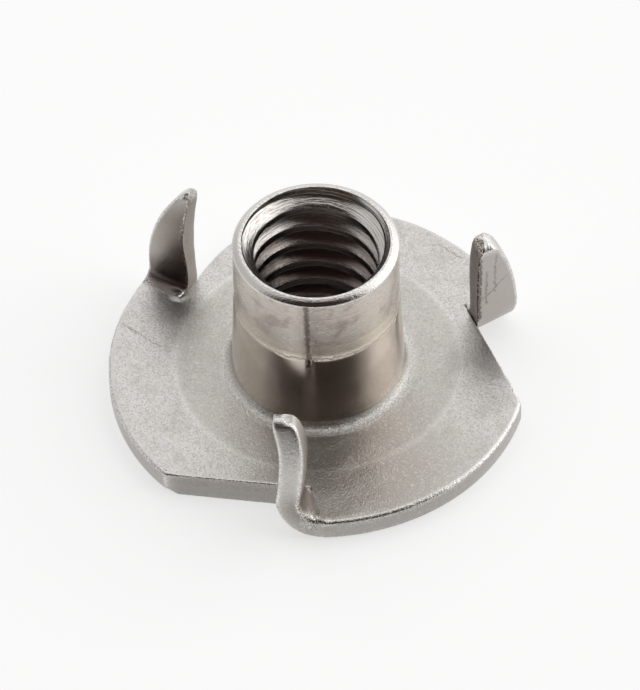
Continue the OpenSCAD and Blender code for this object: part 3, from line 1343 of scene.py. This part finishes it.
@dataclass(frozen=True)
class WornSteel:
    """Plain steel after tumbling: finely grained, with a scuffed band round the barrel and worn edges.

    Attributes:
        pale: Colour of the cleanest sheet.
        dull_and_shaded: Colour of its duller patches, of the sheet round the barrel, and of the shade painted
            on the front of the flange.
        tan: Colour of the specks on it and on the scuffed band.
        bent: Colour of the prongs.
        stained: Colour of the shade painted on the prongs and beside their bends, and of the scratches.
        smooth: Colour of the smooth foot of the barrel.
        scuffed: Colour of the scuffed band above the shoulder.
        beige: Colour of that band just above the shoulder.
        bored: Colour of the thread, the countersink and the rim.
        dark_marks_and_deep_shade: Colour of the shade painted on the thread deep in the bore, of the dark
            lines in the bore and of the pits in the cut walls.
        bright: Colour of worn edges, and of the highlights painted at the prongs' tips and bends.
        torn: Colour of the cut walls.
        roughness: Roughness of the sheet.
        inner_gain: What it gains round the barrel.
        smooth_roughness: Roughness of the barrel below the shoulder, of the bore and of the rim.
        bore_gain: What it gains in the bore.
        scuffed_roughness: Roughness of the scuffed band.
        scuffed_swing: How far that varies to each side.
        worn_rim_gain: What the roughness gains on the rim where it is worn.
        worn_prong_loss: What it loses on the prongs where they are worn.
        grain: Grains for each millimetre.
        grain_depth: Depth of the grain, in metres.
        line_depth: Depth of the fine lines round the barrel and along the thread, in metres.
        shear_depth: Depth of the streaks that shearing left on the cut walls, in metres.
        scratch_depth: Depth of the scratches, in metres.
        ring_height: Height of the ring that drawing left, in metres.
        band_line_depth: Depth of the fine line round the scuffed band, in metres.
        shaded_front: Middle of the shade painted on the front of the flange, in millimetres.
        painted_shades: Shade painted on the sheet beside the bends of the left and right prongs, for their
            dark reflections.
        line_z: Height of the fine line round the scuffed band, in millimetres.
        scratches: The scratches; the dark line down the front of the barrel is a painted reflection of the
            front prong.
    """

    pale: Colour = (0.70, 0.687, 0.67, 1.0)
    dull_and_shaded: Colour = (0.44, 0.412, 0.385, 1.0)
    tan: Colour = (0.66, 0.61, 0.53, 1.0)
    bent: Colour = (0.43, 0.397, 0.37, 1.0)
    stained: Colour = (0.14, 0.107, 0.09, 1.0)
    smooth: Colour = (0.62, 0.555, 0.49, 1.0)
    scuffed: Colour = (0.73, 0.70, 0.655, 1.0)
    beige: Colour = (0.76, 0.69, 0.59, 1.0)
    bored: Colour = (0.63, 0.605, 0.575, 1.0)
    dark_marks_and_deep_shade: Colour = (0.30, 0.255, 0.23, 1.0)
    bright: Colour = (0.84, 0.83, 0.81, 1.0)
    torn: Colour = (0.355, 0.337, 0.32, 1.0)
    roughness: float = 0.29
    inner_gain: float = 0.08
    smooth_roughness: float = 0.14
    bore_gain: float = 0.06
    scuffed_roughness: float = 0.23
    scuffed_swing: float = 0.05
    worn_rim_gain: float = 0.08
    worn_prong_loss: float = 0.15
    grain: float = 11.5
    grain_depth: float = 1.8e-5
    line_depth: float = 1.8e-5
    shear_depth: float = 2.5e-5
    scratch_depth: float = 1e-5
    ring_height: float = 3e-6
    band_line_depth: float = 6e-6
    shaded_front: Place = (3.5, -8.5, 1.35)
    # Shade painted on the sheet beside the bends of the left and right prongs
    painted_shades: tuple[PaintedShade, ...] = (
        PaintedShade((-7.9, 2.9, 1.35), 1.9, 0.5),
        PaintedShade((8.8, 1.2, 1.35), 2.4, 0.35),
    )
    line_z: float = 9.6
    scratches: tuple[Scratch, ...] = (
        Scratch((5.4, 9.25, 1.35), (6.75, 8.4, 1.35)),
        Scratch((-11.0, 1.4, 1.35), (-8.7, 0.0, 1.35)),
        Scratch((11.03, 1.99, 0.0), (9.1, 2.33, 0.0)),
        Scratch((8.42, 3.42, 0.0), (10.92, -0.91, 0.0), 0.13, 0.8),
        # A dark upright line down the front of the barrel: its colour is a painted reflection of the front
        # prong, with a shallow groove
        Scratch((0.077, -4.429, 10.55), (0.176, -4.486, 6.05), 0.2, 0.72),
        Scratch((9.24, 2.8, 0.0), (10.6, 0.44, 0.0)),
        Scratch((10.05, 2.4, 0.0), (11.55, -0.2, 0.0)),
    )

    def colour(self, sheet: Sheet, zones: Zones, worn: Value, shoulder_z: float) -> Value:
        """Wires the colour.

        Args:
            sheet: The material's tree.
            zones: The nut's zones.
            worn: Where the surface is worn bright, and where highlights are painted at the prongs' tips and
                bends.
            shoulder_z: Height of the shoulder.

        Returns:
            The colour.
        """
        spread = sheet.spread
        # Shade painted on the front of the flange: it is less pale within a few millimetres of that point; the
        # rest of this mask is the sheet's own tone
        apart = sheet.measure("DISTANCE", zones.blank, self.shaded_front)
        pale_share = spread(zones.outer, 0.0, 1.0, 0.55, 1.0) * spread(zones.patch, 0.3, 0.55, 0.6, 1.0)
        pale_share = pale_share * spread(apart, 3.0, 8.5, 0.15, 1.0)
        mottled = sheet.coated(
            self.smooth,
            (spread(zones.patch, 0.42, 0.6, 0.0, 0.6), self.scuffed),
            (spread(zones.patch, 0.5, 0.38, 0.0, 0.6), self.bent),
            (spread(zones.height + zones.patch, shoulder_z + 1.5, shoulder_z + 1.2), self.beige),
            (spread(zones.speck, 0.5, 0.64, 0.0, 0.6), self.tan),
        )
        # Shade painted on the thread, darker deeper down in the bore
        bored = sheet.coated(self.bored, (spread(zones.height, 10.0, 6.8), self.dark_marks_and_deep_shade))
        pitted = zones.cut * spread(zones.fine, 0.54, 0.4, 0.0, 0.9)
        pitted = pitted * spread(zones.height, 0.55, 0.85, 0.2, 1.0)
        return sheet.coated(
            self.dull_and_shaded,
            (pale_share, self.pale),
            (spread(zones.fine, 0.44, 0.62, 0.0, 0.8), self.dull_and_shaded),
            (spread(zones.speck, 0.52, 0.66, 0.0, 0.8), self.tan),
            (spread(zones.speck, 0.42, 0.32, 0.0, 0.4), self.bright),
            (zones.ring * 0.2, self.bright),
            (zones.foot * 0.45, self.dull_and_shaded),
            # Shade painted on the sheet beside the prongs' bends
            *((shade_patch.mask(sheet, zones.blank), self.stained) for shade_patch in self.painted_shades),
            (zones.prong * 0.85, self.bent),
            (zones.wall, self.smooth),
            (zones.band, mottled),
            ((zones.bore + zones.rim).clamped(), bored),
            (zones.bore * spread(zones.lines, 0.55, 0.36, 0.0, 0.65), self.dark_marks_and_deep_shade),
            (zones.cut, self.torn),
            (pitted, self.dark_marks_and_deep_shade),
            # Painted shade on the prongs' inner faces and on the cut wall of the right prong
            (zones.stain, self.stained),
            (worn, self.bright),
        )

    def rough(self, sheet: Sheet, zones: Zones, worn: Value) -> Value:
        """Wires the roughness.

        Args:
            sheet: The material's tree.
            zones: The nut's zones.
            worn: Where the surface is worn bright, and where highlights are painted at the prongs' tips and
                bends.

        Returns:
            The roughness.
        """
        rough = sheet.spread(zones.radius, 8.0, 5.6, self.roughness, self.roughness + self.inner_gain)
        drawn = (zones.wall + zones.bore + zones.rim).clamped()
        rough = sheet.blend(drawn, rough, self.smooth_roughness) + zones.bore * self.bore_gain
        band = sheet.spread(zones.patch, 0.35, 0.65, self.scuffed_roughness - self.scuffed_swing,
                            self.scuffed_roughness + self.scuffed_swing)
        lift = zones.rim * self.worn_rim_gain - zones.prong * self.worn_prong_loss
        return (sheet.blend(zones.band, rough, band) + worn * lift).clamped()

    def relief(self, sheet: Sheet, zones: Zones) -> Value:
        """Wires the fine relief: grain, fine lines, the ring and the line round the band.

        Args:
            sheet: The material's tree.
            zones: The nut's zones.

        Returns:
            The height, in metres.
        """
        grained = 1.0 - zones.wall * 0.88 - zones.bore * 0.7
        for zone, gain in ((zones.band, 0.2), (zones.rim, -0.2), (zones.wear, 0.3), (zones.foot, 1.2)):
            grained = grained + zone * gain
        relief = (zones.fine + zones.speck * 0.5) * (grained * self.grain_depth)
        relief = relief + zones.lines * ((zones.bore + zones.band * 0.35) * self.line_depth)
        relief = relief + zones.ring * self.ring_height
        relief = relief + zones.shear * (zones.cut * self.shear_depth)
        apart = sheet.math("ABSOLUTE", zones.height - self.line_z)
        return relief - zones.band * sheet.spread(apart, 0.07, 0.0) * self.band_line_depth

    def material(self, gauge: Gauge, barrel: Barrel) -> bpy.types.Material:
        """Wires the material.

        Args:
            gauge: The driving sizes.
            barrel: The barrel, which says where its zones lie.

        Returns:
            The material.
        """
        made = bpy.data.materials.new("tumbled_steel")
        made.use_nodes = True
        sheet = Sheet(made.node_tree)
        zones = Zones.wired(sheet, gauge, barrel, self.grain)
        # Worn edges, together with the highlights painted at the prongs' tips and bends
        worn = sheet.math("MAXIMUM", zones.wear, zones.foot * 0.6)
        worn = (worn * sheet.spread(zones.fine, 0.44, 0.58)).clamped()
        colour = self.colour(sheet, zones, worn, barrel.shoulder_z)
        relief = self.relief(sheet, zones)
        wobble = sheet.spread(zones.speck, 0.3, 0.7, -0.06, 0.06)
        shaken = sheet.vector("ADD", zones.blank, sheet.value("ShaderNodeCombineXYZ", {0: wobble, 1: wobble}))
        for scratch in self.scratches:
            line = scratch.mask(sheet, shaken)
            relief = relief - line * self.scratch_depth
            colour = sheet.coated(colour, (line * scratch.dark, self.stained))
        shader = sheet.value("ShaderNodeBsdfPrincipled", {
            "Base Color": colour, "Metallic": 1.0, "Roughness": self.rough(sheet, zones, worn),
            "Normal": sheet.value("ShaderNodeBump", {"Strength": 1.0, "Distance": 1.0, "Height": relief})})
        sheet.add("ShaderNodeOutputMaterial", {"Surface": shader})
        return made


@dataclass(frozen=True)
class Studio:
    """A pale floor in a light tent: brightest overhead and on the right, open and dark on the camera's side.

    Attributes:
        azimuth: Direction of the camera round the nut, in degrees.
        elevation: Height of the camera above the floor, in degrees.
        distance: Distance of the camera, in millimetres.
        roll: Roll of the camera, in degrees.
        lens: Focal length of the camera.
        aim: Point that the camera looks at, in millimetres to the right of the axis and up it.
        tent: Radiance of the tent.
        right: What the tent gains on the right.
        left: What it loses on the left.
        top: What it gains overhead.
        top_low: Height at which the light overhead starts, in degrees.
        opening: Colour of the opening.
        opening_half: Half of the angle that the opening takes in, in degrees.
        opening_top: Height of its upper edge, in degrees.
        paper: How pale the floor is.
        shade: How strongly the camera sees the floor's shadows.
        white: Level of the floor to the camera and to the steel.
        floor_level: What open floor shows before its shadows are lifted.
        hole_r: Radius of the floor inside the bore, which isn't lifted, in millimetres.
    """

    azimuth: float = 8.7
    elevation: float = 49.11
    distance: float = 280.0
    roll: float = -1.43
    lens: float = 268.8
    aim: tuple[float, float] = (0.10, 2.62)
    tent: float = 1.0
    right: float = 0.75
    left: float = 0.3
    top: float = 0.9
    top_low: float = 74.0
    opening: Colour = (0.045, 0.030, 0.025, 1.0)
    opening_half: float = 66.0
    opening_top: float = 80.0
    paper: float = 0.80
    shade: float = 0.6
    white: float = 0.985
    floor_level: float = 0.64
    hole_r: float = 4.8

    # Half of the floor's side and how far it lies under the nut, in metres
    FLOOR_HALF = 1.5
    FLOOR_DROP = 1e-5

    def axes(self) -> tuple[Vector, Vector, Vector]:
        """Directions to the camera, to its right and up, before its roll."""
        turn, rise = np.radians(self.azimuth), np.radians(self.elevation)
        back = Vector((np.sin(turn) * np.cos(rise), -np.cos(turn) * np.cos(rise), np.sin(rise)))
        right = Vector((np.cos(turn), np.sin(turn), 0))
        return back, right, back.cross(right)

    def camera(self) -> bpy.types.Object:
        """Makes the scene's camera: it looks at the aim point and is rolled about its own axis.

        Returns:
            The camera.
        """
        back, right, _ = self.axes()
        place = back * self.distance * MM
        look = (place - right * self.aim[0] * MM - Vector((0, 0, self.aim[1] * MM))).normalized()
        level = Vector((0, 0, 1)).cross(look).normalized()
        upright = look.cross(level)
        roll = np.radians(self.roll)
        x_axis = level * np.cos(roll) + upright * np.sin(roll)
        y_axis = upright * np.cos(roll) - level * np.sin(roll)
        made = bpy.data.objects.new("camera", bpy.data.cameras.new("camera"))
        made.data.lens = self.lens
        made.data.clip_start, made.data.clip_end = 0.01, 10
        made.matrix_world = Matrix.Translation(place) @ Matrix((x_axis, y_axis, look)).transposed().to_4x4()
        bpy.context.scene.collection.objects.link(made)
        bpy.context.scene.camera = made
        return made

    def world(self) -> None:
        """Wires the world: the tent, its brighter parts and its dark opening."""
        world = bpy.data.worlds.new("tent")
        bpy.context.scene.world = world
        world.use_nodes = True
        sheet = Sheet(world.node_tree)
        way = sheet.value("ShaderNodeTexCoord", output="Generated")
        back, right, _ = self.axes()
        front = Vector((back.x, back.y, 0)).normalized()
        height = sheet.measure("DOT_PRODUCT", way, (0.0, 0.0, 1.0))
        level = sheet.vector("NORMALIZE", sheet.vector("MULTIPLY", way, (1.0, 1.0, 0.0)))
        facing = sheet.measure("DOT_PRODUCT", level, tuple(front))
        sideways = sheet.measure("DOT_PRODUCT", way, tuple(right))
        light = sheet.spread(sideways, 0.25, 0.75, 0.0, self.right) + self.tent
        light = light - sheet.spread(sideways, -0.25, -0.75, 0.0, self.left)
        light = light + sheet.spread(height, sine(self.top_low), sine(self.top_low + 14), 0.0, self.top)
        beside = sheet.spread(facing, sine(90 - self.opening_half - 6), sine(90 - self.opening_half + 6))
        below = sheet.spread(height, sine(self.opening_top + 3), sine(self.opening_top - 3))
        bright = sheet.value("ShaderNodeCombineColor", {0: light, 1: light, 2: light})
        colour = sheet.coated(bright, (beside * below, self.opening))
        glow = sheet.value("ShaderNodeBackground", {"Color": colour, "Strength": 1.0})
        sheet.add("ShaderNodeOutputWorld", {"Surface": glow})

    def floor(self) -> bpy.types.Object:
        """Makes the floor: matt paper just under the nut, lifted to white for the camera and for reflections.

        Returns:
            The floor.
        """
        half = self.FLOOR_HALF
        mesh = bpy.data.meshes.new("floor")
        corners = [(-half, -half), (half, -half), (half, half), (-half, half)]
        mesh.from_pydata([(x, y, -self.FLOOR_DROP) for x, y in corners], [], [(0, 1, 2, 3)])
        paper = bpy.data.materials.new("paper")
        paper.use_nodes = True
        sheet = Sheet(paper.node_tree)
        matt = sheet.value("ShaderNodeBsdfDiffuse", {"Color": (self.paper, self.paper, self.paper, 1)})
        tone = self.paper * self.shade
        lifted = sheet.value("ShaderNodeBsdfDiffuse", {"Color": (tone, tone, tone, 1)})
        away = sheet.measure("LENGTH", sheet.value("ShaderNodeTexCoord", output="Object"))
        gain = self.white - self.floor_level * self.shade
        glow = sheet.spread(away, (self.hole_r - 0.5) * MM, self.hole_r * MM, 0.0, gain)
        lift = sheet.value("ShaderNodeEmission", {"Color": (1, 1, 1, 1), "Strength": glow})
        white = sheet.value("ShaderNodeAddShader", {0: lifted, 1: lift})
        kinds = ("Is Camera Ray", "Is Glossy Ray", "Is Transmission Ray")
        rays = sheet.add("ShaderNodeLightPath").outputs
        camera, glossy, through = (Value(sheet, rays[kind]) for kind in kinds)
        seen = sheet.math("MAXIMUM", sheet.math("MAXIMUM", camera, glossy), through)
        sheet.add("ShaderNodeOutputMaterial", {
            "Surface": sheet.value("ShaderNodeMixShader", {0: seen, 1: matt, 2: white})})
        mesh.materials.append(paper)
        made = bpy.data.objects.new("floor", mesh)
        bpy.context.scene.collection.objects.link(made)
        return made


def make_prongs() -> list[Prong]:
    """The three prongs, each with the small differences that bending left.

    Returns:
        The prongs, in the order of their angles.
    """
    return [
        Prong("front", angle=-90, face=0.52, bend_r=1.33, cut_bend_r=0.3, lean=6.65, curl_z=4.75, curl_r=4.9,
              arc_z=1.47, thickness=1.30, tip_z=7.38, tip_round=0.45, tip_blunt=1.0, tip_power=2.3, roll=0.06,
              foot=0.28, level_tip=1.0, stain=0.8),
        Prong("right", angle=30, face=0.13, bend_r=1.25, cut_bend_r=0.5, lean=2.8, curl_z=5.19, curl_r=17.4,
              arc_z=2.08, thickness=1.25, tip_z=7.75, cut_stain=0.95),
        Prong("left", angle=150, face=0.66, bend_r=0.75, cut_bend_r=0.45, lean=3.7, curl_z=5.44, curl_r=10.2,
              arc_z=2.1, thickness=1.33, tip_z=8.5, roll=0.4, roll_width=2.4, stain=0.85),
    ]


def main() -> None:
    """Builds the studio and the nut, dresses it and reports each piece."""
    logging.basicConfig(level=logging.INFO, format="%(name)s: %(message)s")
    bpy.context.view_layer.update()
    bpy.context.scene.view_settings.view_transform = "Standard"
    studio = Studio()
    studio.camera()
    studio.world()
    studio.floor()

    gauge = Gauge.from_frame()
    log.info("sizes: %s", gauge)
    barrel = Barrel()
    body = NutBody(gauge, Thread(), barrel, make_prongs())
    surface = body.build()
    nut = surface.to_object("pronged_tee_nut")
    nut.data.materials.append(WornSteel().material(gauge, barrel))
    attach(nut, "root")
    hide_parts(NODE)
    triangles = sum(len(face.vertices) - 2 for face in nut.data.polygons)
    log.info("%s: %d points, %d triangles", nut.name, len(nut.data.vertices), triangles)


if __name__ == "__main__":
    main()
